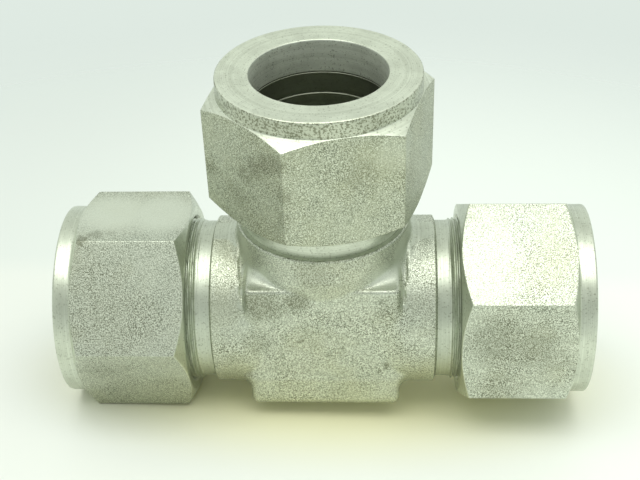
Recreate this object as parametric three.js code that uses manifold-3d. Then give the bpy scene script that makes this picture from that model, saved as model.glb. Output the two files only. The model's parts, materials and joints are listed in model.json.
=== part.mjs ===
// Tube tee fitting: a forged tee body with three threaded ends, and on each end
// a hex nut over a back ferrule and a front ferrule.
// Millimetres, +Z up. X is the run, +Z is the branch. The origin lies under the
// crossing of the centre lines, level with the lowest nut corner.

import * as THREE from 'three';
import { mergeVertices } from 'three/addons/utils/BufferGeometryUtils.js';
import Module from 'manifold-3d';

const wasm = await Module();
wasm.setup();

const rad = THREE.MathUtils.degToRad;

// ---------- driving dimensions ----------

// Stations are distances from the crossing of the centre lines, outwards along
// an end. Every end is the same.
const TUBE_RADIUS = 38.1 / 2;
const SLIP = 0.15; // bore over tube, on the radius
const SEAT_GAP = 0.3; // left between pieces that rest on each other
const SEGMENTS = 36; // round a turned piece
const CORNER_SEGMENTS = 4; // round a quarter-circle corner
const MERGE_TOLERANCE = 1e-4;

// forged body
const BOSS_RADIUS = 25.4;
const BOSS_FACE = 33.9;
const BOSS_BEVEL = 1.4;
const NECK_RADIUS = 23.8;
const NECK_END = 36.6;
const THREAD_RADIUS = 24.3; // between crest and root
const BODY_END = 58;
const BODY_END_BEVEL = 1;
const SOCKET_RADIUS = TUBE_RADIUS + SLIP;
const SOCKET_STOP = 28;
const PASSAGE_RADIUS = 17;
const MOUTH_RADIUS = 21.6;
const MOUTH_ANGLE = rad(20);
const MOUTH_SLOPE = Math.tan(MOUTH_ANGLE);
const MOUTH_DEPTH = (MOUTH_RADIUS - SOCKET_RADIUS) / MOUTH_SLOPE;

// wrench block in the middle of the body
const BLOCK_HALF_X = 22.3;
const BLOCK_HALF_Y = 23.8;
const BLOCK_TOP = 20.6;
const BLOCK_CORNER = 3;
const PAD_TOP = 20; // the branch stays round above this height
const STAMP_FLAT_HEIGHT = 24.9; // flats on top of the run bosses
const STAMP_FLAT_START = 26.5;

// nut
const ACROSS_FLATS = 57.15;
const CORNER_RADIUS = ACROSS_FLATS / Math.sqrt(3);
const NUT_LENGTH = 38.1;
const NUT_FACE = 78;
const NUT_INNER_END = NUT_FACE - NUT_LENGTH;
const COLLAR_RADIUS = 28.5;
const COLLAR_START = 73.1;
const RIM_BEVEL = 0.3;
const HEX_CORNER_END = 70.85;
const OUTER_CHAMFER_SLOPE = (COLLAR_START - HEX_CORNER_END) / (CORNER_RADIUS - COLLAR_RADIUS);
const INNER_FACE_RADIUS = 28.3;
const INNER_CHAMFER_SLOPE = Math.tan(rad(30));
const NUT_THREAD_RADIUS = 24.65;
const NUT_LEAD_IN = 0.8;
const NUT_SHOULDER = 68;
const SHOULDER_RISE = 0.7; // the ferrule seat leans inwards by this much
const CAVITY_RADIUS = 22.8;
const CAVITY_START = 60.5;
const RELIEF_RADIUS = 25;
const RELIEF_START = 57;

// ferrules
const FERRULE_RADIUS = 22.4;
const FRONT_NOSE = 53.5;
const FRONT_REAR = 62;
const NEST_DEPTH = 1.2; // hollow in the front ferrule's rear face
const NEST_RADIUS = 20.6;
const BACK_NOSE = 61.3;
const BACK_SHOULDER = 63.4;
const BACK_BEVEL = 1;

// how far each nut is turned on its thread, from a corner on the end's own X
const NUT_TURN = { left: 37.3, right: 56, branch: 14.9 };
const LOWEST_CORNER_TILT = 4; // of the right nut's bottom corner from straight down
const AXIS_HEIGHT = CORNER_RADIUS * Math.cos(rad(LOWEST_CORNER_TILT));

const OVERRUN = 4; // how far a cutter stands past what it cuts

// ---------- solids ----------

function toSolid(geometry) {
  const bare = geometry.clone();
  bare.deleteAttribute('normal');
  bare.deleteAttribute('uv');
  const merged = mergeVertices(bare, MERGE_TOLERANCE);
  return new wasm.Manifold(new wasm.Mesh({
    numProp: 3,
    vertProperties: new Float32Array(merged.attributes.position.array),
    triVerts: new Uint32Array(merged.index.array),
  }));
}

function toGeometry(solid) {
  const data = solid.getMesh();
  const geometry = new THREE.BufferGeometry();
  geometry.setAttribute('position', new THREE.BufferAttribute(data.vertProperties, 3));
  geometry.setIndex(new THREE.BufferAttribute(data.triVerts, 1));
  geometry.computeVertexNormals();
  return geometry;
}

// A turned shape about +Z from [radius, station] points that close on themselves
// or run from the axis to the axis.
function turned(points) {
  const profile = points.map(([radius, station]) => new THREE.Vector2(radius, station));
  const geometry = new THREE.LatheGeometry(profile, SEGMENTS);
  geometry.rotateX(Math.PI / 2);
  return geometry;
}

function ring(points) {
  return turned([...points, points[0]]);
}

function box(low, high) {
  const size = high.map((value, i) => value - low[i]);
  const geometry = new THREE.BoxGeometry(...size);
  geometry.translate(...low.map((value, i) => value + size[i] / 2));
  return toSolid(geometry);
}

// ---------- ends ----------

// rotation of an end whose own +Z points out along its tube
const END_ROTATION = {
  left: new THREE.Euler(0, -Math.PI / 2, 0),
  right: new THREE.Euler(0, Math.PI / 2, 0),
  branch: new THREE.Euler(0, 0, 0),
};

function onEnd(geometry, end) {
  return geometry.clone().applyMatrix4(new THREE.Matrix4().makeRotationFromEuler(END_ROTATION[end]));
}

// ---------- forged tee body ----------

function bodyEnd() {
  return turned([
    [0, 0],
    [BOSS_RADIUS, 0],
    [BOSS_RADIUS, BOSS_FACE - BOSS_BEVEL],
    [BOSS_RADIUS - BOSS_BEVEL, BOSS_FACE],
    [NECK_RADIUS, BOSS_FACE],
    [NECK_RADIUS, NECK_END],
    [THREAD_RADIUS, NECK_END + THREAD_RADIUS - NECK_RADIUS],
    [THREAD_RADIUS, BODY_END - BODY_END_BEVEL],
    [THREAD_RADIUS - BODY_END_BEVEL, BODY_END],
    [0, BODY_END],
  ]);
}

function bodyBore() {
  return turned([
    [0, 0],
    [PASSAGE_RADIUS, 0],
    [PASSAGE_RADIUS, SOCKET_STOP],
    [SOCKET_RADIUS, SOCKET_STOP],
    [SOCKET_RADIUS, BODY_END - MOUTH_DEPTH],
    [MOUTH_RADIUS + OVERRUN * MOUTH_SLOPE, BODY_END + OVERRUN],
    [0, BODY_END + OVERRUN],
  ]);
}

// The block's outline seen from the front, with round corners, run through from
// front to back.
function wrenchBlock() {
  const outline = new THREE.Shape();
  const right = BLOCK_HALF_X;
  const low = -BLOCK_HALF_Y;
  const high = BLOCK_TOP;
  const corner = BLOCK_CORNER;
  outline.moveTo(-right + corner, low);
  outline.lineTo(right - corner, low);
  outline.absarc(right - corner, low + corner, corner, -Math.PI / 2, 0);
  outline.lineTo(right, high);
  outline.lineTo(-right, high);
  outline.lineTo(-right, low + corner);
  outline.absarc(-right + corner, low + corner, corner, Math.PI, 1.5 * Math.PI);
  const geometry = new THREE.ExtrudeGeometry(outline, {
    depth: 2 * BLOCK_HALF_Y,
    bevelEnabled: false,
    curveSegments: CORNER_SEGMENTS,
  });
  geometry.rotateX(Math.PI / 2);
  geometry.translate(0, BLOCK_HALF_Y, 0);
  return toSolid(geometry);
}

function teeBody() {
  const ends = ['left', 'right', 'branch'];
  let body = wrenchBlock();
  for (const end of ends) {
    body = body.add(toSolid(onEnd(bodyEnd(), end)));
  }

  // flat pads in front, behind and below, between the two run bosses
  const reach = BOSS_RADIUS + OVERRUN;
  const padEnd = BLOCK_HALF_X;
  body = body.subtract(box([-padEnd, -reach, -reach], [padEnd, -BLOCK_HALF_Y, PAD_TOP]));
  body = body.subtract(box([-padEnd, BLOCK_HALF_Y, -reach], [padEnd, reach, PAD_TOP]));
  body = body.subtract(box([-padEnd, -reach, -reach], [padEnd, reach, -BLOCK_HALF_Y]));

  // small stamping flats on top of the run bosses
  for (const side of [-1, 1]) {
    const reaches = [side * STAMP_FLAT_START, side * BOSS_FACE].sort((a, b) => a - b);
    body = body.subtract(box([reaches[0], -reach, STAMP_FLAT_HEIGHT], [reaches[1], reach, reach]));
  }

  for (const end of ends) {
    body = body.subtract(toSolid(onEnd(bodyBore(), end)));
  }
  return toGeometry(body);
}

// ---------- nut and ferrules, each about its own end's +Z ----------

function nut() {
  const hex = new THREE.CylinderGeometry(CORNER_RADIUS, CORNER_RADIUS, NUT_LENGTH, 6);
  hex.rotateX(Math.PI / 2);
  hex.rotateZ(Math.PI / 2); // a corner on the end's own +X
  hex.translate(0, 0, NUT_INNER_END + NUT_LENGTH / 2);

  const past = CORNER_RADIUS + OVERRUN; // clear of the hexagon's corners
  const boreRadius = TUBE_RADIUS + SLIP;
  const envelope = ring([
    [NUT_THREAD_RADIUS + NUT_LEAD_IN, NUT_INNER_END],
    [INNER_FACE_RADIUS, NUT_INNER_END],
    [past, NUT_INNER_END + (past - INNER_FACE_RADIUS) * INNER_CHAMFER_SLOPE],
    [past, HEX_CORNER_END - OVERRUN * OUTER_CHAMFER_SLOPE],
    [COLLAR_RADIUS, COLLAR_START],
    [COLLAR_RADIUS, NUT_FACE - RIM_BEVEL],
    [COLLAR_RADIUS - RIM_BEVEL, NUT_FACE],
    [boreRadius, NUT_FACE],
    [boreRadius, NUT_SHOULDER],
    [CAVITY_RADIUS, NUT_SHOULDER - SHOULDER_RISE],
    [CAVITY_RADIUS, CAVITY_START],
    [RELIEF_RADIUS, CAVITY_START],
    [RELIEF_RADIUS, RELIEF_START],
    [NUT_THREAD_RADIUS, RELIEF_START],
    [NUT_THREAD_RADIUS, NUT_INNER_END + NUT_LEAD_IN],
  ]);
  return toGeometry(toSolid(hex).intersect(toSolid(envelope)));
}

function frontFerrule() {
  const inner = TUBE_RADIUS + SLIP;
  const clearance = SEAT_GAP / Math.cos(MOUTH_ANGLE);
  const coneRadius = (station) => MOUTH_RADIUS - (BODY_END - station) * MOUTH_SLOPE - clearance;
  return ring([
    [inner, FRONT_NOSE],
    [coneRadius(FRONT_NOSE), FRONT_NOSE],
    [coneRadius(BODY_END), BODY_END],
    [coneRadius(BODY_END), BODY_END + SEAT_GAP],
    [FERRULE_RADIUS, BODY_END + SEAT_GAP],
    [FERRULE_RADIUS, FRONT_REAR],
    [NEST_RADIUS, FRONT_REAR],
    [inner, FRONT_REAR - NEST_DEPTH],
  ]);
}

function backFerrule() {
  const inner = TUBE_RADIUS + SLIP;
  const seatStation = NUT_SHOULDER - SEAT_GAP;
  return ring([
    [inner, BACK_NOSE],
    [NEST_RADIUS - SEAT_GAP, FRONT_REAR + SEAT_GAP],
    [NEST_RADIUS - SEAT_GAP, BACK_SHOULDER - BACK_BEVEL],
    [FERRULE_RADIUS, BACK_SHOULDER],
    [FERRULE_RADIUS, seatStation - SHOULDER_RISE],
    [inner, seatStation],
  ]);
}

// ---------- assembly ----------

function steel(color, roughness) {
  return new THREE.MeshStandardMaterial({ color, roughness, metalness: 1 });
}

const FORGED_STEEL = 0xa9ae9c;
const NUT_STEEL = 0xb1b6a4;
const FERRULE_STEEL = 0x9aa091;

function piece(name, geometry, material) {
  const mesh = new THREE.Mesh(geometry, material);
  mesh.name = name;
  return mesh;
}

const tee = new THREE.Group();
tee.position.z = AXIS_HEIGHT;
tee.add(piece('tee_body', teeBody(), steel(FORGED_STEEL, 0.5)));

for (const end of ['left', 'right', 'branch']) {
  const assembly = new THREE.Group();
  assembly.rotation.copy(END_ROTATION[end]);
  const nutMesh = piece(`${end}_nut`, nut(), steel(NUT_STEEL, 0.45));
  nutMesh.rotation.z = rad(NUT_TURN[end]);
  assembly.add(nutMesh);
  assembly.add(piece(`${end}_back_ferrule`, backFerrule(), steel(FERRULE_STEEL, 0.35)));
  assembly.add(piece(`${end}_front_ferrule`, frontFerrule(), steel(FERRULE_STEEL, 0.35)));
  tee.add(assembly);
}

const model = new THREE.Group();
model.add(tee);

export default model;
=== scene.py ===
# A tube tee fitting on a pale studio floor: a forged tee body with three threaded
# ends, and on each end a hex nut over a back ferrule and a front ferrule.
# Shapes are worked out in millimetres and placed in the frame in metres.

import json
import math

import bpy
import numpy as np
from mathutils import Matrix, Vector


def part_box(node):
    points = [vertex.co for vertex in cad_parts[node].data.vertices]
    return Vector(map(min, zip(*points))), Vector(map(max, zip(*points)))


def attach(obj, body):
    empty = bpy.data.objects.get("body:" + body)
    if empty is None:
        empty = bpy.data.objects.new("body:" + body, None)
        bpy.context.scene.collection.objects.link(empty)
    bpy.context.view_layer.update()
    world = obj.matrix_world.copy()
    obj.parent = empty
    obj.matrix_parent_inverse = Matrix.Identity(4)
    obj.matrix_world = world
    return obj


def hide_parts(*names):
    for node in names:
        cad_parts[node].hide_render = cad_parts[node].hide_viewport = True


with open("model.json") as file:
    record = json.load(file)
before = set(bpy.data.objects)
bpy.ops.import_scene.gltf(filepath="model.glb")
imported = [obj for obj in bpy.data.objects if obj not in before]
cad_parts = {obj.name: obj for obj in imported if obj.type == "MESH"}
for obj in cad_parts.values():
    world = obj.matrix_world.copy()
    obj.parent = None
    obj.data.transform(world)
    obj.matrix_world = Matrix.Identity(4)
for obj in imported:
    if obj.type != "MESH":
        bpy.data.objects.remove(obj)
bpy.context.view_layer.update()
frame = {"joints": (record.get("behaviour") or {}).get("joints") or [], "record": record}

MM = 0.001
ENDS = ("left", "right", "branch")

# ---------- driving dimensions, in millimetres ----------

# Stations are distances outwards along an end from the crossing of the centre
# lines. The frame gives the centre height and where the nuts and the body end.
HINGE = next(j for j in frame["joints"] if j["name"] == "right_nut_turn")
COUPLING = frame["record"]["behaviour"]["couplings"][0]
AXIS_HEIGHT = HINGE["pos_m"][2] / MM
NUT_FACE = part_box("right_nut")[1].x / MM
NUT_INNER_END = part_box("right_nut")[0].x / MM
BODY_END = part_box("tee_body")[1].x / MM
PITCH = COUPLING["ratio"] * 2 * math.pi / MM

# forged body
BOSS_RADIUS = 25.4
BRANCH_FACE = 32.3
RUN_FACE = 33.2
RUN_EDGE = 32.5  # a run boss's end slopes from here in to the neck
RUN_STOCK = 2.0  # forged past a run boss's face, and turned off
BRANCH_STOCK = 0.1  # the branch boss is forged this much larger; only its face is turned
NECK_RADIUS = 23.8
NECK_END = 36.6
NECK_BURIED = 6.0  # each neck's ring starts this far inwards of BRANCH_FACE
THREAD_CREST = 24.6
THREAD_ROOT = 23.9
THREAD_FLAT = 0.125  # width of a crest or a root, as a share of the pitch
BODY_THREAD_START = 0.3  # the thread comes in this far past the neck
BODY_THREAD_FADE = 0.7
BODY_END_BEVEL = 1.0
SOCKET_RADIUS = 19.2
SOCKET_STOP = 28.0
PASSAGE_RADIUS = 17.0
MOUTH_RADIUS = 21.6
MOUTH_SLOPE = math.tan(math.radians(20))
MOUTH_STATION = BODY_END - (MOUTH_RADIUS - SOCKET_RADIUS) / MOUTH_SLOPE

# wrench block in the middle of the body
BLOCK_HALF_X = 22.3
BLOCK_HALF_Y = 23.8
BLOCK_TOP = 20.6
BLOCK_UPRIGHT_ROUND = 2.0
BLOCK_LOW_ROUND = 3.5
BLOCK_TOP_ROUND = 1.1

# The block's sides go on as pads, which sweep out to the full round of a boss on a
# large hollow radius. A sweep is where that starts, and the radius.
PAD_HALF = BLOCK_HALF_Y - 0.05
RUN_SWEEP = (17.0, 8.0)
RUN_PAD_ROUND = 1.5
BRANCH_SWEEP = (9.0, 18.0)
BRANCH_PAD_ROUND = 6.0
BRANCH_FACE_ROUND = 0.7

# a flat on top of each run boss
STAMP_FLAT_HEIGHT = 25.1
STAMP_FLAT_ROUND = 0.05

# Above the pads, each run boss ends inwards in a soft step, which comes in between
# two heights and draws in towards the block as it goes down.
STEP_X = 24.8
STEP_LEAN = 0.11
STEP_DEPTH = 0.8
STEP_SOFTNESS = 0.35
STEP_HEIGHTS = (9.0, 13.0)

# Fillets. The one in the groove between block and run boss grows as the block
# stands higher over the boss, and fades out over the block's top.
LEAST_FILLET = 1e-3
GROOVE_FILLET = 3.2
GROOVE_GROWTH = (-0.4, 2.0)
GROOVE_FADE = (-1.0, 2.5)
BLOCK_FILLET = 4.5  # between the block's top and the branch boss
BLOCK_FILLET_GROWTH = (9.0, 22.0)  # over these distances from the middle
SADDLE_FILLET = 3.8  # between the run bosses and the branch boss
SADDLE_CHANGE = (21.5, 24.0)  # where the one fillet gives way to the other

# nut
ACROSS_FLATS = 57.15
CORNER_RADIUS = ACROSS_FLATS / math.sqrt(3)
CORNER_ROUND = 0.32
COLLAR_RADIUS = 28.5
COLLAR_START = 73.1
HEX_CORNER_END = 70.85
OUTER_CHAMFER_SLOPE = (COLLAR_START - HEX_CORNER_END) / (CORNER_RADIUS - COLLAR_RADIUS)
INNER_FACE_RADIUS = 28.3
INNER_CHAMFER_SLOPE = math.tan(math.radians(30))
THREAD_CLEARANCE = 0.3
NUT_THREAD_FADE = 0.6
NUT_LEAD_IN = 0.8
NUT_SHOULDER = 68.0
SHOULDER_RISE = 0.7
CAVITY_RADIUS = 22.8
CAVITY_START = 60.5
RELIEF_RADIUS = 25.2
RELIEF_START = 57.0
NUT_TURN = {"left": 37.3, "right": 56.0, "branch": 14.9}

# ferrules
FERRULE_RADIUS = 22.4
FRONT_NOSE = 53.5
FRONT_REAR = 62.0
NEST_DEPTH = 1.2
NEST_RADIUS = 20.6
BACK_NOSE = 61.3
BACK_SHOULDER = 63.4
BACK_SLOPE = 1.0  # length of the slope up to the shoulder
SEAT_GAP = 0.3

# how finely the shapes are cut
NUT_THREAD_ROWS = 150
BODY_THREAD_ROWS = 240
NECK_COLUMNS = 200
SHAPER_COLUMNS = 240
BORE_COLUMNS = 180
FERRULE_COLUMNS = 180
FORGING_STEP = 0.55
FORGING_MARGIN = 2.0  # grid left clear round the forging

# ---------- meshes ----------


def end_matrix(end):
    """From an end's own frame, +Z outwards in millimetres, to the frame in metres."""
    lift = Matrix.Translation((0, 0, AXIS_HEIGHT * MM))
    quarter = {"left": -90, "right": 90, "branch": 0}[end]
    turn = Matrix.Rotation(math.radians(quarter), 4, "Y")
    return lift @ turn @ Matrix.Scale(MM, 4)


def quad_mesh(name, points, quads, material_index=None):
    mesh = bpy.data.meshes.new(name)
    mesh.vertices.add(len(points))
    mesh.vertices.foreach_set("co", np.asarray(points, np.float32).ravel())
    mesh.loops.add(quads.size)
    mesh.loops.foreach_set("vertex_index", np.asarray(quads, np.int32).ravel())
    mesh.polygons.add(len(quads))
    mesh.polygons.foreach_set("loop_start", np.arange(0, quads.size, 4, dtype=np.int32))
    if material_index is not None:
        mesh.polygons.foreach_set("material_index", material_index.astype(np.int32))
    mesh.update(calc_edges=True)
    return mesh


def make_object(name, mesh):
    piece = bpy.data.objects.new(name, mesh)
    bpy.context.scene.collection.objects.link(piece)
    return piece


def shade(mesh, sharp_degrees=35):
    mesh.polygons.foreach_set("use_smooth", np.ones(len(mesh.polygons), bool))
    mesh.set_sharp_from_angle(angle=math.radians(sharp_degrees))


class Profile:
    """A closed outline of (radius, station) corners, each with its own rounding, that
    may change with the angle round the axis."""

    ROUND_STEPS = 3
    ROUND_SHARE = 0.4  # the most of an edge that one end's rounding takes
    ZONE_CHANGE = 0.4  # share of a rounding that keeps the material before it
    SUPPORT = 0.3  # an extra row this far from each rounded corner
    SUPPORT_SHARE = 0.2  # but no more than this share of the edge

    def __init__(self):
        self.corners = []

    def add(self, radius, station, bevel=0.2, rows=1, zone=0):
        """A corner, then how the edge that leaves it is cut into rows, and its material."""
        self.corners.append((radius, station, bevel, rows, zone))

    def outline(self, angles):
        """Points of the rounded outline at each angle, and each row's edge and material."""
        fixed = np.zeros((len(angles), len(self.corners), 2))
        for i, (radius, station, *_) in enumerate(self.corners):
            fixed[:, i, 0] = radius
            fixed[:, i, 1] = station
        after = np.roll(fixed, -1, axis=1) - fixed
        length = np.linalg.norm(after, axis=2, keepdims=True)
        direction = after / length
        rows, edges, zones = [], [], []
        for i, (_, _, bevel, cuts, zone) in enumerate(self.corners):
            before = i - 1
            room = self.ROUND_SHARE * np.minimum(length[:, i], length[:, before])
            cut = np.minimum(bevel, room)
            corner = fixed[:, i]
            first = corner - cut * direction[:, before]
            last = corner + cut * direction[:, i]
            for t in np.linspace(0, 1, self.ROUND_STEPS + 1):
                bent = (1 - t) ** 2 * first + 2 * t * (1 - t) * corner + t**2 * last
                rows.append(bent)
                edges.append(i)
                zones.append(zone if t > self.ZONE_CHANGE else self.corners[before][4])
            nxt = (i + 1) % len(self.corners)
            next_bevel = self.corners[nxt][2]
            room = self.ROUND_SHARE * np.minimum(length[:, nxt], length[:, i])
            next_cut = np.minimum(next_bevel, room)
            start = last
            stop = fixed[:, nxt] - next_cut * direction[:, i]
            span = np.linalg.norm(stop - start, axis=1, keepdims=True)
            support = np.minimum(self.SUPPORT / span, self.SUPPORT_SHARE)
            inner = [support] + [support + (1 - 2 * support) * k / cuts for k in range(1, cuts)]
            for share in inner + [1 - support]:
                rows.append(start + (stop - start) * share)
                edges.append(i)
                zones.append(zone)
        return np.stack(rows, axis=1), np.array(edges), np.array(zones)


def ring_mesh(name, profile, angles, end, reshape=None):
    """The closed ring that the profile sweeps round an end's axis."""
    outline, edges, zones = profile.outline(angles)
    if reshape is not None:
        outline = reshape(outline, edges, angles)
    radius = outline[:, :, 0]
    station = outline[:, :, 1]
    across = np.cos(angles)[:, None] * radius
    up = np.sin(angles)[:, None] * radius
    points = np.stack([across, up, station], axis=2)
    around, along = radius.shape
    index = np.arange(around * along).reshape(around, along)
    right = np.roll(index, -1, axis=0)
    quads = np.stack([index, np.roll(index, -1, axis=1), np.roll(right, -1, axis=1), right], axis=2)
    area = 0.5 * np.sum(radius[0] * np.roll(station[0], -1) - np.roll(radius[0], -1) * station[0])
    if area > 0:
        quads = quads[:, :, ::-1]
    slots = np.broadcast_to(zones, (around, along))
    mesh = quad_mesh(name, points.reshape(-1, 3), quads.reshape(-1, 4), slots.reshape(-1))
    mesh.transform(end_matrix(end))
    return mesh


def even_angles(count):
    return np.arange(count) * 2 * math.pi / count


# ---------- screw thread ----------


def thread_radius(angle, station, root, crest):
    """A right-hand thread with flat crests and roots."""
    phase = (station / PITCH - angle / (2 * math.pi)) % 1.0
    climb = (np.abs(2 * phase - 1) - THREAD_FLAT) / (1 - 2 * THREAD_FLAT)
    climb = np.clip(climb, 0, 1)
    return root + (crest - root) * climb


def threaded(edge_index, root, crest, low, high, fade):
    """Cuts the thread into one edge of an outline, fading out towards both its ends."""

    def reshape(outline, edges, angles):
        rows = np.flatnonzero(edges == edge_index)
        station = outline[:, rows, 1]
        plain = outline[:, rows, 0]
        inside = np.clip(np.minimum(station - low, high - station) / fade, 0, 1)
        cut = thread_radius(angles[:, None], station, root, crest)
        outline[:, rows, 0] = plain + (cut - plain) * inside
        return outline

    return reshape


# ---------- nuts ----------

BAR_ZONE, TURNED_ZONE, FACE_ZONE, BORE_ZONE = 0, 1, 2, 3


def hex_angles(turn_degrees):
    """Angles round a nut, closer together at the six rounded corners."""
    at_corner = np.array([0, 0.22, 0.45, 0.9])
    along_flat = np.linspace(2.2, 30, 17)
    half = np.concatenate([at_corner, along_flat])
    one = np.concatenate([half, 60 - half[1:-1][::-1]])
    steps = np.concatenate([one + 60 * k for k in range(6)])
    return np.radians(steps + turn_degrees)


def hex_radius(angles, turn_degrees):
    """Distance to a hexagon with rounded corners."""
    offset = (angles - math.radians(turn_degrees) + math.pi / 6) % (math.pi / 3) - math.pi / 6
    offset = np.abs(offset)
    flat = ACROSS_FLATS / 2 / np.cos(math.pi / 6 - offset)
    centre = (ACROSS_FLATS / 2 - CORNER_ROUND) / math.cos(math.pi / 6)
    inside = np.maximum(CORNER_ROUND**2 - (centre * np.sin(offset)) ** 2, 0)
    corner = centre * np.cos(offset) + np.sqrt(inside)
    return np.minimum(flat, np.where(inside > 0, corner, flat))


def nut_mesh(end):
    angles = hex_angles(NUT_TURN[end])
    flats = hex_radius(angles, NUT_TURN[end])
    inner_edge = NUT_INNER_END + (flats - INNER_FACE_RADIUS) * INNER_CHAMFER_SLOPE
    outer_edge = COLLAR_START - (flats - COLLAR_RADIUS) * OUTER_CHAMFER_SLOPE
    thread_plain = THREAD_CREST + THREAD_CLEARANCE
    outline = Profile()
    outline.add(INNER_FACE_RADIUS, NUT_INNER_END, bevel=0.15, rows=2, zone=TURNED_ZONE)
    outline.add(flats, inner_edge, bevel=0.3, rows=12, zone=BAR_ZONE)
    outline.add(flats, outer_edge, bevel=0.3, rows=2, zone=FACE_ZONE)
    outline.add(COLLAR_RADIUS, COLLAR_START, bevel=0.4, rows=3, zone=TURNED_ZONE)
    outline.add(COLLAR_RADIUS, NUT_FACE, bevel=0.5, rows=6, zone=FACE_ZONE)
    outline.add(SOCKET_RADIUS, NUT_FACE, bevel=0.35, rows=6, zone=BORE_ZONE)
    outline.add(SOCKET_RADIUS, NUT_SHOULDER, bevel=0.12, rows=2, zone=BORE_ZONE)
    outline.add(CAVITY_RADIUS, NUT_SHOULDER - SHOULDER_RISE, bevel=0.2, rows=2, zone=BORE_ZONE)
    outline.add(CAVITY_RADIUS, CAVITY_START, bevel=0.2, zone=BORE_ZONE)
    outline.add(RELIEF_RADIUS, CAVITY_START, bevel=0.2, zone=BORE_ZONE)
    outline.add(RELIEF_RADIUS, RELIEF_START, bevel=0.1, zone=BORE_ZONE)
    thread_edge = len(outline.corners)
    outline.add(thread_plain, RELIEF_START, bevel=0.1, rows=NUT_THREAD_ROWS, zone=TURNED_ZONE)
    outline.add(thread_plain, NUT_INNER_END + NUT_LEAD_IN, bevel=0.1, zone=TURNED_ZONE)
    outline.add(thread_plain + NUT_LEAD_IN, NUT_INNER_END, bevel=0.1, rows=2, zone=TURNED_ZONE)
    cut = threaded(
        thread_edge,
        root=THREAD_ROOT + THREAD_CLEARANCE,
        crest=THREAD_CREST + THREAD_CLEARANCE,
        low=NUT_INNER_END + NUT_LEAD_IN,
        high=RELIEF_START,
        fade=NUT_THREAD_FADE,
    )
    return ring_mesh(f"{end}_hex_nut", outline, angles, end, cut)


# ---------- ferrules ----------


def front_ferrule_mesh(end):
    clearance = SEAT_GAP / math.cos(math.atan(MOUTH_SLOPE))

    def cone(station):
        return MOUTH_RADIUS - (BODY_END - station) * MOUTH_SLOPE - clearance

    outline = Profile()
    outline.add(SOCKET_RADIUS, FRONT_NOSE, bevel=0.1)
    outline.add(cone(FRONT_NOSE), FRONT_NOSE, bevel=0.15, rows=3)
    outline.add(cone(BODY_END), BODY_END, bevel=0.1)
    outline.add(cone(BODY_END), BODY_END + SEAT_GAP, bevel=0.1)
    outline.add(FERRULE_RADIUS, BODY_END + SEAT_GAP, bevel=0.3, rows=3)
    outline.add(FERRULE_RADIUS, FRONT_REAR, bevel=0.3, rows=2)
    outline.add(NEST_RADIUS, FRONT_REAR, bevel=0.15, rows=2)
    outline.add(SOCKET_RADIUS, FRONT_REAR - NEST_DEPTH, bevel=0.12, rows=5)
    return ring_mesh(f"{end}_front_sleeve", outline, even_angles(FERRULE_COLUMNS), end)


def back_ferrule_mesh(end):
    seat = NUT_SHOULDER - SEAT_GAP
    neck = NEST_RADIUS - SEAT_GAP
    outline = Profile()
    outline.add(SOCKET_RADIUS, BACK_NOSE, bevel=0.12)
    outline.add(neck, FRONT_REAR + SEAT_GAP, bevel=0.1)
    outline.add(neck, BACK_SHOULDER - BACK_SLOPE, bevel=0.2, rows=2)
    outline.add(FERRULE_RADIUS, BACK_SHOULDER, bevel=0.3, rows=3)
    outline.add(FERRULE_RADIUS, seat - SHOULDER_RISE, bevel=0.3, rows=3)
    outline.add(SOCKET_RADIUS, seat, bevel=0.3, rows=5)
    return ring_mesh(f"{end}_back_sleeve", outline, even_angles(FERRULE_COLUMNS), end)


# ---------- forged body ----------


def round_join(a, b, radius):
    """Distance to two joined solids, with a fillet in the corner between them."""
    outside = np.hypot(np.maximum(radius - a, 0), np.maximum(radius - b, 0))
    return np.maximum(radius, np.minimum(a, b)) - outside


def round_overlap(a, b, radius):
    """Distance to what two solids share, with the corner between them rounded."""
    inside = np.hypot(np.maximum(radius + a, 0), np.maximum(radius + b, 0))
    return np.minimum(-radius, np.maximum(a, b)) + inside


def ramp(value, low, high):
    t = np.clip((value - low) / (high - low), 0, 1)
    return t * t * (3 - 2 * t)


def swept(value, sweep):
    """How far a pad's surface has come out at this distance along its sweep."""
    start, radius = sweep
    return np.maximum(value - start, 0) ** 2 / (2 * radius)


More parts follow.
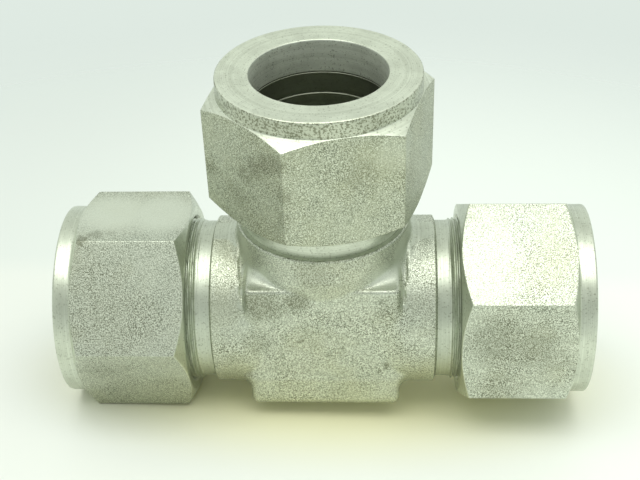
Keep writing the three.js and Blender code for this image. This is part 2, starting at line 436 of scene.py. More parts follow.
def forging_distance(x, y, z):
    """Signed distance, in millimetres, from the crossing of the centre lines."""
    side_x = np.abs(x)
    side_y = np.abs(y)
    about_run = np.hypot(y, z)
    about_branch = np.hypot(x, y)

    # wrench block with round corners
    block = round_overlap(side_x - BLOCK_HALF_X, side_y - BLOCK_HALF_Y, BLOCK_UPRIGHT_ROUND)
    block = round_overlap(block, -z - BLOCK_HALF_Y, BLOCK_LOW_ROUND)
    block = round_overlap(block, z - BLOCK_TOP, BLOCK_TOP_ROUND)

    # run bosses, with the step, the flat on top and the sweeps down to the pads
    step_x = STEP_X - STEP_LEAN * np.clip(BOSS_RADIUS - z, 0, BOSS_RADIUS)
    dip = STEP_DEPTH * ramp(step_x - side_x, -STEP_SOFTNESS, STEP_SOFTNESS)
    dip = dip * ramp(z, *STEP_HEIGHTS)
    run = np.maximum(about_run - BOSS_RADIUS + dip, side_x - RUN_FACE - RUN_STOCK)
    run = round_overlap(run, z - STAMP_FLAT_HEIGHT, STAMP_FLAT_ROUND)
    sweep = PAD_HALF + swept(side_x, RUN_SWEEP)
    run = round_overlap(run, side_y - sweep, RUN_PAD_ROUND)
    run = round_overlap(run, -z - sweep, RUN_PAD_ROUND)

    # groove: how far out the block's side is, measured from the run's axis
    reach = BLOCK_HALF_Y * about_run / np.maximum(np.maximum(side_y, np.abs(z)), 1.0)
    groove = GROOVE_FILLET * ramp(reach - BOSS_RADIUS, *GROOVE_GROWTH)
    groove = groove * ramp(BLOCK_TOP - z, *GROOVE_FADE)
    solid = round_join(block, run, groove + LEAST_FILLET)

    # branch boss
    side = about_branch - BOSS_RADIUS - BRANCH_STOCK
    top = z - BRANCH_FACE - BRANCH_STOCK
    branch = round_overlap(side, top, BRANCH_FACE_ROUND)
    branch = np.maximum(branch, -z)
    pad = side_y - PAD_HALF - swept(z, BRANCH_SWEEP)
    branch = round_overlap(branch, pad, BRANCH_PAD_ROUND)
    fillet = BLOCK_FILLET + (SADDLE_FILLET - BLOCK_FILLET) * ramp(side_x, *SADDLE_CHANGE)
    fillet = fillet * ramp(side_x, *BLOCK_FILLET_GROWTH) + LEAST_FILLET
    return round_join(solid, branch, fillet)


CORNERS = [(i, j, k) for i in (0, 1) for j in (0, 1) for k in (0, 1)]


def surface_nets(distance, low, high, step):
    """Quads over the zero surface of a distance function: one vertex in each cell
    that the surface crosses."""
    axes = [np.arange(a, b + step, step) for a, b in zip(low, high)]
    value = distance(*np.meshgrid(*axes, indexing="ij"))
    cells = tuple(n - 1 for n in value.shape)

    def corner(i, j, k):
        return value[i : i + cells[0], j : j + cells[1], k : k + cells[2]]

    total = np.zeros(cells + (3,))
    count = np.zeros(cells)
    for a in CORNERS:
        for axis in range(3):
            if a[axis]:
                continue
            b = tuple(1 if n == axis else a[n] for n in range(3))
            va, vb = corner(*a), corner(*b)
            crossed = (va < 0) != (vb < 0)
            share = np.where(crossed, va / np.where(crossed, va - vb, 1), 0)
            for n in range(3):
                total[..., n] += crossed * (a[n] + (share if n == axis else 0))
            count += crossed
    active = count > 0
    index = np.full(cells, -1)
    index[active] = np.arange(active.sum())
    places = np.argwhere(active) + total[active] / count[active][:, None]
    points = np.array([axis[0] for axis in axes]) + places * step

    quads = []
    inside = value < 0
    for axis in range(3):
        u, v = (axis + 1) % 3, (axis + 2) % 3
        here = np.moveaxis(inside, axis, 0)
        change = np.moveaxis(here[:-1] != here[1:], 0, axis)
        start = np.moveaxis(here[:-1], 0, axis)
        spots = np.argwhere(change)
        ok = np.all((spots[:, [u, v]] > 0) & (spots[:, [u, v]] < np.array(cells)[[u, v]]), axis=1)
        spots = spots[ok]
        ring = []
        for du, dv in ((1, 1), (0, 1), (0, 0), (1, 0)):
            at = spots.copy()
            at[:, u] -= du
            at[:, v] -= dv
            ring.append(index[tuple(at.T)])
        ring = np.stack(ring, axis=1)
        outward = start[tuple(spots.T)]
        ring[~outward] = ring[~outward][:, ::-1]
        quads.append(ring)
    return points, np.concatenate(quads)


def settle(points, distance):
    """Moves points along the slope of the distance function onto its zero surface."""
    steps = 4
    nudge = 0.02
    pull = 0.8
    least_slope = 0.2
    for _ in range(steps):
        here = distance(*points.T)
        slope = np.empty_like(points)
        for axis in range(3):
            shift = np.zeros(3)
            shift[axis] = nudge
            ahead = distance(*(points + shift).T)
            behind = distance(*(points - shift).T)
            slope[:, axis] = (ahead - behind) / (2 * nudge)
        size = np.maximum(np.sum(slope**2, axis=1), least_slope)
        points = points - (pull * here / size)[:, None] * slope
    return points


def boolean(piece, other_mesh, operation):
    """Joins or cuts the piece with a mesh that is used up."""
    other = make_object("cutter", other_mesh)
    step = piece.modifiers.new("cut", "BOOLEAN")
    step.operation = operation
    step.solver = "MANIFOLD"
    step.object = other
    bpy.context.view_layer.update()
    result = piece.evaluated_get(bpy.context.evaluated_depsgraph_get())
    mesh = bpy.data.meshes.new_from_object(result)
    piece.modifiers.clear()
    old = piece.data
    piece.data = mesh
    bpy.data.meshes.remove(old)
    bpy.data.objects.remove(other)
    bpy.data.meshes.remove(other_mesh)


# every ring is hollow inside its core; the forging's own core is wider
RING_CORE = 12.0
BORE_CORE = 8.0


def shaper_mesh(end):
    """What turning takes off the end of a boss."""
    clear = 6.0
    inset = 0.1  # the slope goes on this far inside the neck
    outline = Profile()
    if end == "branch":
        top = BRANCH_FACE
        outline.add(BOSS_RADIUS + clear, top, bevel=0.1, rows=2)
        outline.add(RING_CORE, top, bevel=0.1)
    else:
        top = RUN_FACE + inset * (RUN_FACE - RUN_EDGE) / (BOSS_RADIUS - NECK_RADIUS)
        outline.add(BOSS_RADIUS + clear, RUN_EDGE - clear, bevel=0.1)
        outline.add(BOSS_RADIUS, RUN_EDGE, bevel=0.4, rows=2)
        outline.add(NECK_RADIUS - inset, top, bevel=0.05, rows=2)
        outline.add(RING_CORE, top, bevel=0.1)
    outline.add(RING_CORE, top + clear, bevel=0.1)
    outline.add(BOSS_RADIUS + clear, top + clear, bevel=0.1)
    return ring_mesh("shaper", outline, even_angles(SHAPER_COLUMNS), end)


def neck_mesh(end):
    """The neck and the threaded end, as a ring that starts inside the boss."""
    start = BRANCH_FACE - NECK_BURIED
    thread_end = BODY_END - BODY_END_BEVEL
    outline = Profile()
    outline.add(NECK_RADIUS, start, bevel=0.1, rows=2)
    outline.add(NECK_RADIUS, NECK_END, bevel=0.15)
    rise = THREAD_ROOT - NECK_RADIUS
    thread_edge = len(outline.corners)
    outline.add(THREAD_ROOT, NECK_END + rise, bevel=0.1, rows=BODY_THREAD_ROWS)
    outline.add(THREAD_ROOT, thread_end, bevel=0.1)
    outline.add(THREAD_ROOT - BODY_END_BEVEL, BODY_END, bevel=0.15)
    outline.add(RING_CORE, BODY_END, bevel=0.1)
    outline.add(RING_CORE, start, bevel=0.1)
    cut = threaded(
        thread_edge,
        root=THREAD_ROOT,
        crest=THREAD_CREST,
        low=NECK_END + BODY_THREAD_START,
        high=thread_end,
        fade=BODY_THREAD_FADE,
    )
    return ring_mesh("neck", outline, even_angles(NECK_COLUMNS), end, cut)


def bore_mesh(end):
    """The cutter for one end: half the run's passage, or the branch's."""
    past = 4.0
    start = 0 if end == "branch" else -1.0  # the run's two cutters overlap in the middle
    outline = Profile()
    outline.add(PASSAGE_RADIUS, start, bevel=0.01)
    outline.add(PASSAGE_RADIUS, SOCKET_STOP, bevel=0.2, rows=2)
    outline.add(SOCKET_RADIUS, SOCKET_STOP, bevel=0.2, rows=2)
    outline.add(SOCKET_RADIUS, MOUTH_STATION, bevel=0.2, rows=2)
    outline.add(MOUTH_RADIUS + past * MOUTH_SLOPE, BODY_END + past, bevel=0.1)
    outline.add(BORE_CORE, BODY_END + past, bevel=0.1)
    outline.add(BORE_CORE, start, bevel=0.01)
    return ring_mesh("bore", outline, even_angles(BORE_COLUMNS), end)


FORGED_ZONE, TURNED_RUN_ZONE, TURNED_BRANCH_ZONE = 0, 1, 2
# how far each turned zone reaches past its own edge, so that it takes in the rounding
ZONE_MARGINS = {"passage": 0.3, "run_end": 0.1, "branch_end": 0.02, "stamp_flat": 0.03}


def hollow_forging(x, y, z):
    """The forging with a core that is smaller than its passages."""
    core = PASSAGE_RADIUS - 2
    about_branch = np.sqrt(x**2 + y**2 + np.minimum(z, 0) ** 2)
    hole = np.maximum(core - np.hypot(y, z), core - about_branch)
    return np.maximum(forging_distance(x, y, z), hole)


def body_zones(mesh):
    """Gives each face of the body its material: forged skin, or turned on either axis."""
    count = len(mesh.polygons)
    centres = np.empty(count * 3)
    mesh.polygons.foreach_get("center", centres)
    x, y, z = (centres.reshape(-1, 3) / MM).T
    z = z - AXIS_HEIGHT
    about_run = np.hypot(y, z)
    about_branch = np.hypot(x, y)
    margin = ZONE_MARGINS
    passage = PASSAGE_RADIUS + margin["passage"]
    run_end = np.abs(x) > RUN_FACE - margin["run_end"]
    branch_end = z > BRANCH_FACE - margin["branch_end"]
    on_flat = z > STAMP_FLAT_HEIGHT - margin["stamp_flat"]
    beside_branch = (z < BRANCH_FACE - 4) & (about_branch > BOSS_RADIUS + 1)
    zones = np.full(count, FORGED_ZONE)
    zones[run_end | (about_run < passage) | (on_flat & beside_branch)] = TURNED_RUN_ZONE
    zones[branch_end | ((z > 0) & (about_branch < passage))] = TURNED_BRANCH_ZONE
    mesh.polygons.foreach_set("material_index", zones.astype(np.int32))


def body_object():
    run_reach = RUN_FACE + RUN_STOCK + FORGING_MARGIN
    side_reach = BOSS_RADIUS + FORGING_MARGIN
    low = (-run_reach, -side_reach, -side_reach)
    high = (run_reach, side_reach, BRANCH_FACE + FORGING_MARGIN)
    step = FORGING_STEP
    points, quads = surface_nets(hollow_forging, low, high, step)
    points = settle(points, hollow_forging)
    mesh = quad_mesh("forging", points, quads)
    mesh.transform(end_matrix("branch"))
    body = make_object("forged_tee_body", mesh)
    for end in ENDS:
        boolean(body, shaper_mesh(end), "DIFFERENCE")
    for end in ENDS:
        boolean(body, neck_mesh(end), "UNION")
    for end in ENDS:
        boolean(body, bore_mesh(end), "DIFFERENCE")
    return body


# ---------- materials ----------


class Surface:
    """A node material around one Principled shader, with short names for its parts."""

    RAGGED_SIZE = 0.0013  # the ragged edge of every spot: size of its noise,
    RAGGED_REACH = 0.005  # and how far that moves the edge, in metres
    SPOT_CORE = 0.3  # share of a spot's radius that is at full strength

    def __init__(self, name, metallic, roughness, specular=0.5):
        self.material = bpy.data.materials.new(name)
        self.material.use_nodes = True
        self.tree = self.material.node_tree
        self.shader = self.tree.nodes["Principled BSDF"]
        self.shader.inputs["Metallic"].default_value = metallic
        self.shader.inputs["Roughness"].default_value = roughness
        self.shader.inputs["Specular IOR Level"].default_value = specular
        self.place = self.node("ShaderNodeTexCoord").outputs["Object"]
        self.ragged = None

    def node(self, kind, **settings):
        made = self.tree.nodes.new(kind)
        for key, value in settings.items():
            setattr(made, key, value)
        return made

    def feed(self, socket, value):
        if isinstance(value, bpy.types.NodeSocket):
            self.tree.links.new(value, socket)
        else:
            socket.default_value = value

    def math(self, operation, a, b=0.0):
        made = self.node("ShaderNodeMath", operation=operation)
        self.feed(made.inputs[0], a)
        self.feed(made.inputs[1], b)
        return made.outputs[0]

    def remap(self, value, low, high, to_low=0.0, to_high=1.0):
        made = self.node("ShaderNodeMapRange", interpolation_type="SMOOTHSTEP")
        for socket, setting in zip(made.inputs, (value, low, high, to_low, to_high)):
            self.feed(socket, setting)
        return made.outputs[0]

    def noise(self, size, detail=2.0, roughness=0.5):
        """Cloudy noise whose patches are about size metres across."""
        made = self.node("ShaderNodeTexNoise")
        self.feed(made.inputs["Vector"], self.place)
        made.inputs["Scale"].default_value = 0.5 / size
        made.inputs["Detail"].default_value = detail
        made.inputs["Roughness"].default_value = roughness
        return made.outputs["Fac"]

    def lines(self, value, size, detail=3.0):
        """Noise along one value only: fine parallel lines."""
        made = self.node("ShaderNodeTexNoise", noise_dimensions="1D")
        self.feed(made.inputs["W"], value)
        made.inputs["Scale"].default_value = 0.5 / size
        made.inputs["Detail"].default_value = detail
        return made.outputs["Fac"]

    def mix(self, share, a, b):
        made = self.node("ShaderNodeMix", data_type="RGBA")
        self.feed(made.inputs[0], share)
        self.feed(made.inputs[6], a)
        self.feed(made.inputs[7], b)
        return made.outputs[2]

    def axes(self, along):
        """Station and radius about the run's axis or the branch's."""
        lowered = self.node("ShaderNodeVectorMath", operation="SUBTRACT")
        self.feed(lowered.inputs[0], self.place)
        lowered.inputs[1].default_value = (0, 0, AXIS_HEIGHT * MM)
        split = self.node("ShaderNodeSeparateXYZ")
        self.feed(split.inputs[0], lowered.outputs[0])
        x, y, z = split.outputs
        station, other = (x, z) if along == "run" else (z, x)
        square = self.math("ADD", self.math("MULTIPLY", y, y), self.math("MULTIPLY", other, other))
        return station, self.math("SQRT", square)

    def spot(self, centre, radius):
        """1 around a place, fading to 0 at the radius; in millimetres from the crossing."""
        x, y, z = centre
        distance = self.node("ShaderNodeVectorMath", operation="DISTANCE")
        self.feed(distance.inputs[0], self.place)
        distance.inputs[1].default_value = (x * MM, y * MM, (z + AXIS_HEIGHT) * MM)
        if self.ragged is None:
            cloud = self.math("SUBTRACT", self.noise(self.RAGGED_SIZE, 4, 0.6), 0.5)
            self.ragged = self.math("MULTIPLY", cloud, self.RAGGED_REACH)
        reach = self.math("ADD", distance.outputs["Value"], self.ragged)
        return self.remap(reach, self.SPOT_CORE * radius * MM, radius * MM, 1, 0)

    def strongest(self, spots):
        """The strongest of some spots, each (centre, radius, strength)."""
        most = 0.0
        for centre, radius, strength in spots:
            share = self.math("MULTIPLY", self.spot(centre, radius), strength)
            most = self.math("MAXIMUM", most, share)
        return most

    def bump(self, height, distance, strength=1.0, under=None):
        made = self.node("ShaderNodeBump")
        made.inputs["Strength"].default_value = strength
        made.inputs["Distance"].default_value = distance
        self.feed(made.inputs["Height"], height)
        if under is not None:
            self.feed(made.inputs["Normal"], under)
        return made.outputs[0]

    def finish(self, color, roughness, normal):
        self.feed(self.shader.inputs["Base Color"], color)
        self.feed(self.shader.inputs["Roughness"], roughness)
        self.feed(self.shader.inputs["Normal"], normal)
        return self.material


# colours of steel
GRAINED = (0.58, 0.61, 0.50, 1)
BRANCH_GRAINED = (0.47, 0.49, 0.36, 1)
GRAINED_DARK = (0.12, 0.13, 0.085, 1)
# painted highlight: bright specks of glint painted into the skin's colour
PAINTED_GLINT = (0.96, 1.0, 0.88, 1)
CLOUDED = (0.62, 0.68, 0.60, 1)
WARM_STAIN = (0.48, 0.49, 0.33, 1)
WORN = (0.82, 0.86, 0.76, 1)
HOLLOW = (0.60, 0.64, 0.54, 1)
GRIME = (0.15, 0.155, 0.095, 1)
TURNED = (0.68, 0.72, 0.61, 1)
TURNED_NECK = (0.60, 0.64, 0.54, 1)
TURNED_BRANCH = (0.60, 0.63, 0.51, 1)
TURNED_DARK = (0.42, 0.45, 0.36, 1)
BORED = (0.95, 0.98, 0.90, 1)
FACED = (0.76, 0.80, 0.68, 1)
# painted shade: the ferrules are coloured dark for the shade deep inside the nuts' bores
SLEEVE_PAINTED_SHADE = (0.31, 0.325, 0.26, 1)

# sizes of the patterns in steel, in metres
GRAIN_SIZE = 0.00015
PATCH_SIZE = 0.005
CLOUD_SIZE = 0.012
STAIN_SIZE = 0.009
TOOL_MARK_SIZE = 0.00022
TOOL_BAND_SIZE = 0.0011
FLECK_SIZE = 0.0003
RIPPLE_SIZE = 0.0009
GRAIN_RELIEF = 0.00008
TOOL_MARK_RELIEF = 0.000012
RIPPLE_RELIEF = 0.00001

# noise values between which each pattern goes from none to full
PITS = (0.51, 0.41)
PAINTED_GLINT_RANGE = (0.54, 0.63)
PATCHES = (0.35, 0.65)
CLOUDS = (0.38, 0.62)
STAINS = (0.5, 0.7)
SMUDGED_PITS = (0.62, 0.42)
TOOL_MARKS = (0.35, 0.65)
TOOL_BANDS = (0.45, 0.65)
FLECKS = (0.42, 0.34)
ROUGHENING = (0.3, 0.7)

# how strongly each pattern colours the steel
PIT_SHARE = (0.6, 0.95)  # from patch to patch
PAINTED_GLINT_SHARE = 0.55
CLOUD_SHARE = 0.20
STAIN_SHARE = 0.25
WORN_SHARE = 0.6
SMUDGE_SHARE = (0.5, 1.0)  # on the crests of the grain, and in its pits
TOOL_MARK_SHARE = 0.22
TOOL_BAND_SHARE = 0.15
TURNED_CLOUD_SHARE = 0.15
SKIN_ROUGHNESS = (0.56, 0.34)  # in the pits, and on the crests


def grained_steel(name, spots=(), worn=(), smooth=(), tint=GRAINED):
    """Stainless skin with a fine pitted grain, dark in its pits, with bright glints
    painted on its crests, old smudges, places worn bright, and hollows that stayed smooth."""
    s = Surface(name, 1.0, 0.42)
    fine = s.noise(GRAIN_SIZE, 2, 0.6)
    # painted glints: bright specks painted on the crests of the grain
    painted_glints = s.math("MULTIPLY", s.remap(fine, *PAINTED_GLINT_RANGE), PAINTED_GLINT_SHARE)
    patchy = s.remap(s.noise(PATCH_SIZE, 3), *PATCHES, *PIT_SHARE)
    pits = s.math("MULTIPLY", s.remap(fine, *PITS), patchy)
    bright = s.strongest(worn)
    hollow = s.strongest(smooth)
    # the grain is gone where the skin is worn or stayed smooth
    grainy = s.math("SUBTRACT", 1.0, s.math("MAXIMUM", bright, hollow))
    color = s.mix(s.math("MULTIPLY", pits, grainy), tint, GRAINED_DARK)
    color = s.mix(s.math("MULTIPLY", painted_glints, grainy), color, PAINTED_GLINT)
    cloud = s.remap(s.noise(CLOUD_SIZE, 4, 0.6), *CLOUDS)
    color = s.mix(s.math("MULTIPLY", cloud, CLOUD_SHARE), color, CLOUDED)
    warm = s.remap(s.noise(STAIN_SIZE, 2), *STAINS)
    color = s.mix(s.math("MULTIPLY", warm, STAIN_SHARE), color, WARM_STAIN)
    color = s.mix(s.math("MULTIPLY", bright, WORN_SHARE), color, WORN)
    color = s.mix(hollow, color, HOLLOW)
    soiled = s.remap(fine, *SMUDGED_PITS, *SMUDGE_SHARE)
    color = s.mix(s.math("MULTIPLY", s.strongest(spots), soiled), color, GRIME)
    rough = s.remap(fine, *ROUGHENING, *SKIN_ROUGHNESS)
    normal = s.bump(s.math("MULTIPLY", fine, grainy), GRAIN_RELIEF)
    return s.finish(color, rough, normal)


def turned_steel(name, along, base=TURNED, roughness=0.34, flecks=0.45, cover=0.0):
    """Bright turned stainless, with fine rings round its axis, and dark flecks whose
    strength is flecks and which spread as cover grows."""
    s = Surface(name, 1.0, roughness)
    station, radius = s.axes(along)
    station = s.math("ABSOLUTE", station)
    ring = s.lines(s.math("ADD", station, radius), TOOL_MARK_SIZE)
    broad = s.lines(s.math("SUBTRACT", station, radius), TOOL_BAND_SIZE, 2)
    marks = s.math("MULTIPLY", s.remap(ring, *TOOL_MARKS), TOOL_MARK_SHARE)
    bands = s.math("MULTIPLY", s.remap(broad, *TOOL_BANDS), TOOL_BAND_SHARE)
    cloud = s.remap(s.noise(PATCH_SIZE, 4, 0.6), 0.4, 0.62)
    none, full = FLECKS
    fleck = s.remap(s.noise(FLECK_SIZE, 3, 0.6), none + cover, full + cover)
    color = s.mix(marks, base, TURNED_DARK)
    color = s.mix(bands, color, TURNED_DARK)
    color = s.mix(s.math("MULTIPLY", cloud, TURNED_CLOUD_SHARE), color, GRAINED_DARK)
    color = s.mix(s.math("MULTIPLY", fleck, flecks), color, GRIME)
    rough = s.remap(ring, *ROUGHENING, roughness - 0.05, roughness + 0.08)
    normal = s.bump(ring, TOOL_MARK_RELIEF, 0.8)
    normal = s.bump(s.noise(RIPPLE_SIZE, 3), RIPPLE_RELIEF, 0.5, normal)
    return s.finish(color, rough, normal)


# Marks on the skin, each a place in millimetres from the crossing, a radius and a
# strength: first smudges and stains on the body.
BODY_SPOTS = (
    ((-7.2, -23.8, 17.0), 5.5, 0.75),
    ((-11.5, -23.8, 14.5), 3.5, 0.45),
    ((-17.5, -23.8, 15.5), 8.5, 0.65),
    ((-6.5, -23.8, 2.4), 0.9, 0.7),
    ((18.2, -24.5, -7.2), 1.6, 0.8),
    ((16.5, -24.5, -9.2), 1.0, 0.6),
    ((-21.9, -23.0, -10.6), 1.2, 0.6),
    ((-19.5, -23.8, 2.5), 7.0, 0.30),
    ((19.0, -23.8, 14.5), 7.0, 0.32),
    ((-2.0, -25.4, 28.0), 9.0, 0.32),
    ((-26.0, -22.0, -13.0), 8.0, 0.30),
)
# the corners of the block's top, handled most
BODY_WORN = tuple(((x, y, 21.5), 6.5, 0.7) for x in (-17.5, 17.5) for y in (-19.5, 19.5))
# the hollows between the run bosses, the block and the branch boss
BODY_SMOOTH = tuple(
    ((x * side_x, y * side_y, z), radius, 1.0)
    for side_x in (-1, 1)
    for side_y in (-1, 1)
    for x, y, z, radius in (
        (21.5, 3.0, 28.5, 7.0),
        (21.0, 10.5, 27.0, 6.0),
        (22.2, 16.0, 23.0, 3.8),
        (23.3, 19.8, 17.5, 2.0),
        (23.0, 21.6, 14.0, 1.8),
    )
)
NUT_SPOTS = {
    "left": (
        ((-70.0, -11.5, 30.0), 3.0, 0.8),
        ((-66.0, -8.5, 29.4), 3.5, 0.5),
        ((-62.0, -8.0, 29.3), 2.5, 0.3),
        ((-58.0, -27.0, -2.0), 5.0, 0.35),
        ((-66.0, -31.0, -5.0), 8.0, 0.30),
    ),
    "right": (
        ((50.0, -28.0, 6.0), 12.0, 0.50),
        ((60.0, -28.5, 4.0), 10.0, 0.45),
        ((66.0, -28.5, -1.0), 6.0, 0.3),
        ((52.0, -28.5, -10.0), 9.0, 0.25),
    ),
    "branch": (
        ((-10.5, -30.0, 67.0), 4.6, 0.6),
        ((-13.5, -27.0, 65.0), 4.8, 0.65),
        ((-16.5, -24.0, 62.0), 4.6, 0.6),
        ((-19.5, -21.0, 58.0), 4.2, 0.45),
        ((-8.6, -31.9, 58.0), 4.0, 0.5),
        ((-8.6, -31.9, 50.0), 4.0, 0.35),
        ((12.0, -28.5, 62.0), 7.0, 0.30),
        ((-29.0, -8.0, 54.0), 5.0, 0.4),
        ((-22.0, -18.0, 50.0), 5.0, 0.35),
    ),
}
NUT_WORN = {
    "left": (((-63.0, 5.0, 28.5), 18.0, 0.75), ((-49.0, 5.0, 28.5), 17.0, 0.75)),
    "right": (((44.0, -15.0, 26.0), 19.0, 0.3), ((62.0, -29.0, -20.0), 12.0, 0.4)),
    "branch": (((20.0, -22.0, 66.0), 8.0, 0.2),),
}

# ---------- pieces ----------


def add_piece(name, mesh, body, node, materials):
    piece = mesh if isinstance(mesh, bpy.types.Object) else make_object(name, mesh)
    piece.name = name
    for material in materials:
        piece.data.materials.append(material)
    shade(piece.data)
    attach(piece, body)
    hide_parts(node)
    return piece


def build_fitting():
    turned = {
        "run": turned_steel("turned_run", "run"),
        "branch": turned_steel("turned_branch", "branch", TURNED_BRANCH, flecks=0.75, cover=0.09),
    }
    ways = ("run", "branch")
    bored = {way: turned_steel(f"bored_{way}", way, BORED, 0.55) for way in ways}
    faced = {way: turned_steel(f"faced_{way}", way, FACED, 0.40) for way in ways}
    # the ferrules' steel, darkened to paint the shade inside the nuts' bores
    painted_shade_sleeve = {way: turned_steel(f"sleeve_{way}", way, SLEEVE_PAINTED_SHADE, 0.38) for way in ways}

    body = body_object()
    body.data.materials.clear()
    forged = grained_steel("forged_skin", BODY_SPOTS, BODY_WORN, BODY_SMOOTH)
    run_neck = turned_steel("turned_run_neck", "run", TURNED_NECK, 0.37)
    branch_neck = turned_steel("turned_branch_neck", "branch", TURNED, 0.36)
    materials = [forged, run_neck, branch_neck]
    add_piece("forged_tee_body", body, "body", "tee_body", materials)
    body_zones(body.data)

    for end in ENDS:
        way = "branch" if end == "branch" else "run"
        tint = BRANCH_GRAINED if end == "branch" else GRAINED
        bar = grained_steel(f"{end}_bar_skin", NUT_SPOTS[end], NUT_WORN[end], tint=tint)
        materials = [bar, turned[way], faced[way], bored[way]]
        nut = nut_mesh(end)
        add_piece(f"{end}_hex_nut", nut, f"{end}_nut", f"{end}_nut", materials)
        for place, ring in (("front", front_ferrule_mesh(end)), ("back", back_ferrule_mesh(end))):
            name = f"{end}_{place}_sleeve"
            node = f"{end}_{place}_ferrule"
            add_piece(name, ring, f"{end}_ferrules", node, [painted_shade_sleeve[way]])


# ---------- studio ----------

# places and sizes in the studio are in metres
FLOOR_REACH = 0.9
FLOOR_SIDES = 96
FLOOR_FADE = (0.14, 0.40)  # the table fades out between these distances
BOARD = (0.90, 0.92, 0.88, 1)
BOARD_CLOUDED = (0.87, 0.90, 0.84, 1)
BOARD_BEHIND = (0.84, 0.88, 0.85, 1)
# painted shadow: a warm tint under the fitting for the colour of its shadow
BOARD_PAINTED_SHADOW = (1.0, 0.97, 0.66, 1)
# painted shade: the board is darkened towards the left
BOARD_PAINTED_SHADE = (0.08, 0.08, 0.08, 1)
# where the board changes colour: from none to all of it
BEHIND_RANGE = (0.052, 0.075)
PAINTED_SHADOW_RANGE = (0.055, 0.020)
PAINTED_SHADOW_SQUEEZE = (0.5, 1, 0)  # the warm patch is twice as long as it is deep
PAINTED_SHADE_RANGE = (0.04, -0.14)
PAINTED_SHADE_SHARE = 0.14


def floor_object():
    """A pale table that is level with the left nut's lowest flat and touches that nut's
    collar and the right nut's lowest corner, so the fitting stands on it."""
    flat = math.radians(NUT_TURN["left"] + 150)
    down = Vector((0, math.sin(flat), math.cos(flat)))
    corner = math.radians(NUT_TURN["right"] - 60)
    corner_down = Vector((0, math.sin(corner), -math.cos(corner)))
    left_touch = Vector((-NUT_FACE, 0, 0)) + down * COLLAR_RADIUS
    corner_start = NUT_INNER_END + (CORNER_RADIUS - INNER_FACE_RADIUS) * INNER_CHAMFER_SLOPE
    right_touch = Vector((corner_start, 0, 0)) + corner_down * CORNER_RADIUS
    across = down.cross(Vector((1, 0, 0)))
    along = right_touch - left_touch
    up = along.cross(across)
    up = up if up.z > 0 else -up
    up.normalize()
    mesh = bpy.data.meshes.new("table_top")
    centre = (left_touch + right_touch) / 2 * MM + Vector((0, 0, AXIS_HEIGHT * MM))
    turn = up.to_track_quat("Z", "Y").to_matrix().to_4x4()
    angles = even_angles(FLOOR_SIDES)
    ring = [(FLOOR_REACH * math.cos(a), FLOOR_REACH * math.sin(a), 0) for a in angles]
    mesh.from_pydata(ring, [], [tuple(range(FLOOR_SIDES))])
    mesh.transform(Matrix.Translation(centre) @ turn)
    floor = make_object("table_top", mesh)
    return floor


def floor_material():
    """Pale board, cooler behind the fitting, with a warm tint painted under it for the
    colour of its shadow and shade painted in to the left, that fades into the backdrop."""
    s = Surface("pale_board", 0.0, 0.6, 0.3)
    split = s.node("ShaderNodeSeparateXYZ")
    s.feed(split.inputs[0], s.place)
    across, back = split.outputs[0], split.outputs[1]
    cloud = s.remap(s.noise(0.05, 2), 0.35, 0.65, 0.0, 0.12)
    near = s.mix(cloud, BOARD, BOARD_CLOUDED)
    color = s.mix(s.remap(back, *BEHIND_RANGE), near, BOARD_BEHIND)
    under = s.node("ShaderNodeVectorMath", operation="MULTIPLY")
    s.feed(under.inputs[0], s.place)
    under.inputs[1].default_value = PAINTED_SHADOW_SQUEEZE
    reach = s.node("ShaderNodeVectorMath", operation="LENGTH")
    s.feed(reach.inputs[0], under.outputs[0])
    # painted warm shadow tint under the fitting
    color = s.mix(s.remap(reach.outputs["Value"], *PAINTED_SHADOW_RANGE), color, BOARD_PAINTED_SHADOW)
    # painted shade, darkening the board towards the left
    painted_shade = s.math("MULTIPLY", s.remap(across, *PAINTED_SHADE_RANGE), PAINTED_SHADE_SHARE)
    color = s.mix(painted_shade, color, BOARD_PAINTED_SHADE)
    s.feed(s.shader.inputs["Base Color"], color)
    length = s.node("ShaderNodeVectorMath", operation="LENGTH")
    s.feed(length.inputs[0], s.place)
    fade = s.remap(length.outputs["Value"], *FLOOR_FADE)
    clear = s.node("ShaderNodeBsdfTransparent")
    blend = s.node("ShaderNodeMixShader")
    s.feed(blend.inputs[0], fade)
    s.tree.links.new(s.shader.outputs[0], blend.inputs[1])
    s.tree.links.new(clear.outputs[0], blend.inputs[2])
    s.tree.links.new(blend.outputs[0], s.tree.nodes["Material Output"].inputs[0])
    return s.material


# brightness of the studio by the height looked at: below and behind the fitting it
# is a pale backdrop, and towards the camera it is dimmer
WORLD_STOPS = (
    (-0.999, (0.78, 0.86, 0.80)),
    (-0.62, (0.79, 0.87, 0.81)),
    (-0.42, (0.735, 0.82, 0.76)),
    (0.05, (0.86, 0.93, 0.87)),
    (0.60, (0.84, 0.90, 0.83)),
    (0.999, (0.90, 0.95, 0.88)),
)
FRONT_DIMMING = 0.70
FRONT_RANGE = (0.1, -0.6)  # directions over which the dimming comes in, to the front
ABOVE_RANGE = (0.0, 0.3)  # and upwards


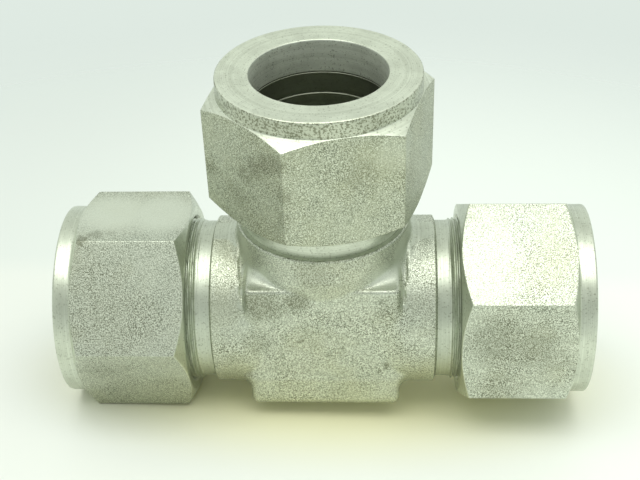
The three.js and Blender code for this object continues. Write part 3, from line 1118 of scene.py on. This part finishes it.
def build_world():
    """A pale studio all round, dimmer above the horizon on the camera's side."""
    world = bpy.data.worlds.new("studio")
    bpy.context.scene.world = world
    world.use_nodes = True
    tree = world.node_tree
    place = tree.nodes.new("ShaderNodeTexCoord")
    split = tree.nodes.new("ShaderNodeSeparateXYZ")
    tree.links.new(place.outputs["Generated"], split.inputs[0])

    def remap(value, low, high, to_low, to_high):
        made = tree.nodes.new("ShaderNodeMapRange")
        tree.links.new(value, made.inputs[0])
        for socket, setting in zip(made.inputs[1:5], (low, high, to_low, to_high)):
            socket.default_value = setting
        return made.outputs[0]

    ramp = tree.nodes.new("ShaderNodeValToRGB")
    tree.links.new(remap(split.outputs["Z"], -1, 1, 0, 1), ramp.inputs[0])
    stops = ramp.color_ramp.elements
    for height, color in WORLD_STOPS:
        stop = stops.new((height + 1) / 2)
        stop.color = (*color, 1)
    stops.remove(stops[0])
    stops.remove(stops[-1])

    front = remap(split.outputs["Y"], *FRONT_RANGE, 0, 1)
    above = remap(split.outputs["Z"], *ABOVE_RANGE, 0, 1)
    share = tree.nodes.new("ShaderNodeMath")
    share.operation = "MULTIPLY"
    tree.links.new(front, share.inputs[0])
    tree.links.new(above, share.inputs[1])
    background = tree.nodes["Background"]
    tree.links.new(ramp.outputs[0], background.inputs["Color"])
    strength = remap(share.outputs[0], 0, 1, 1, FRONT_DIMMING)
    tree.links.new(strength, background.inputs["Strength"])


def area_light(name, place, target, size, power, color):
    light = bpy.data.lights.new(name, "AREA")
    light.shape = "RECTANGLE"
    light.size, light.size_y = size
    light.energy = power
    light.color = color
    lamp = bpy.data.objects.new(name, light)
    bpy.context.scene.collection.objects.link(lamp)
    lamp.location = place
    aim = Vector(target) - Vector(place)
    lamp.rotation_euler = aim.to_track_quat("-Z", "Y").to_euler()


LENS = 66.26
CAMERA_ANGLES = (-3.42, 35.47, -2.13)  # yaw, pitch and roll, in degrees
CAMERA_PLACE = (0.01578, -0.28578, 0.22567)  # from the crossing


def build_camera():
    """The camera looks down at the fitting from the front, a little from the right."""
    data = bpy.data.cameras.new("camera")
    data.sensor_width = 36
    data.lens = LENS
    data.clip_start, data.clip_end = 0.01, 10
    camera = bpy.data.objects.new("camera", data)
    bpy.context.scene.collection.objects.link(camera)
    yaw, pitch, roll = (math.radians(a) for a in CAMERA_ANGLES)
    forward = Vector(
        (math.sin(yaw) * math.cos(pitch), math.cos(yaw) * math.cos(pitch), -math.sin(pitch))
    )
    level = Vector((math.cos(yaw), -math.sin(yaw), 0))
    upright = level.cross(forward)
    right = level * math.cos(roll) + upright * math.sin(roll)
    up = upright * math.cos(roll) - level * math.sin(roll)
    place = Vector(CAMERA_PLACE) + Vector((0, 0, AXIS_HEIGHT * MM))
    turn = Matrix((right, up, -forward)).transposed().to_4x4()
    camera.matrix_world = Matrix.Translation(place) @ turn
    bpy.context.scene.camera = camera


# ---------- the scene ----------

build_camera()
build_fitting()
floor_object().data.materials.append(floor_material())
build_world()
area_light(
    "overhead_softbox",
    place=(0.0, -0.10, 0.62),
    target=(0, 0, 0.03),
    size=(0.60, 0.45),
    power=2.1,
    color=(0.98, 1.0, 0.95),
)

bpy.context.scene.view_settings.view_transform = "Standard"
